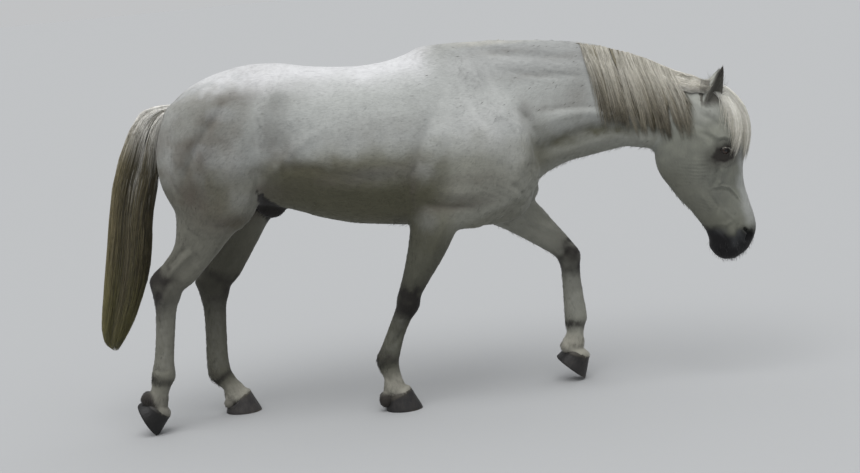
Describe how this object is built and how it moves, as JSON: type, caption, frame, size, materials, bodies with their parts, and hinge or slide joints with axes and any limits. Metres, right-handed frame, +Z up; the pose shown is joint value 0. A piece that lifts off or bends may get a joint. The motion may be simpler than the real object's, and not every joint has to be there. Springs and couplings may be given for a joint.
{
  "type": "standing horse figure",
  "caption": "Life-size still model of a stocky grey riding pony in a slow walk with its head low, with a long mane falling on one side and a full tail.",
  "frame": {"origin": "on the floor, under the middle of the whole figure's bounding box", "axes": "+X towards the head, +Y to the horse's left, +Z up"},
  "size_m": [2.6742, 0.5752, 1.4529],
  "materials": {
    "coat": "short grey coat with darker points",
    "mane": "long cream-white hair",
    "tail_hair": "long hair, pale at the root and olive-brown below",
    "hoof": "dark grey horn",
    "eye": "wet, very dark brown",
    "muzzle": "bare dark grey skin"
  },
  "bodies": {
    "root": {"head": "coat", "neck": "coat", "torso": "coat", "tail": "tail_hair", "ear_left": "coat", "ear_right": "coat", "eye_left": "eye", "eye_right": "eye", "foreleg_right_upper": "coat", "foreleg_right_lower": "coat", "foreleg_right_hoof": "hoof", "foreleg_left_upper": "coat", "foreleg_left_lower": "coat", "foreleg_left_hoof": "hoof", "hindleg_right_upper": "coat", "hindleg_right_lower": "coat", "hindleg_right_hoof": "hoof", "hindleg_left_upper": "coat", "hindleg_left_lower": "coat", "hindleg_left_hoof": "hoof"}
  },
  "joints": []
}
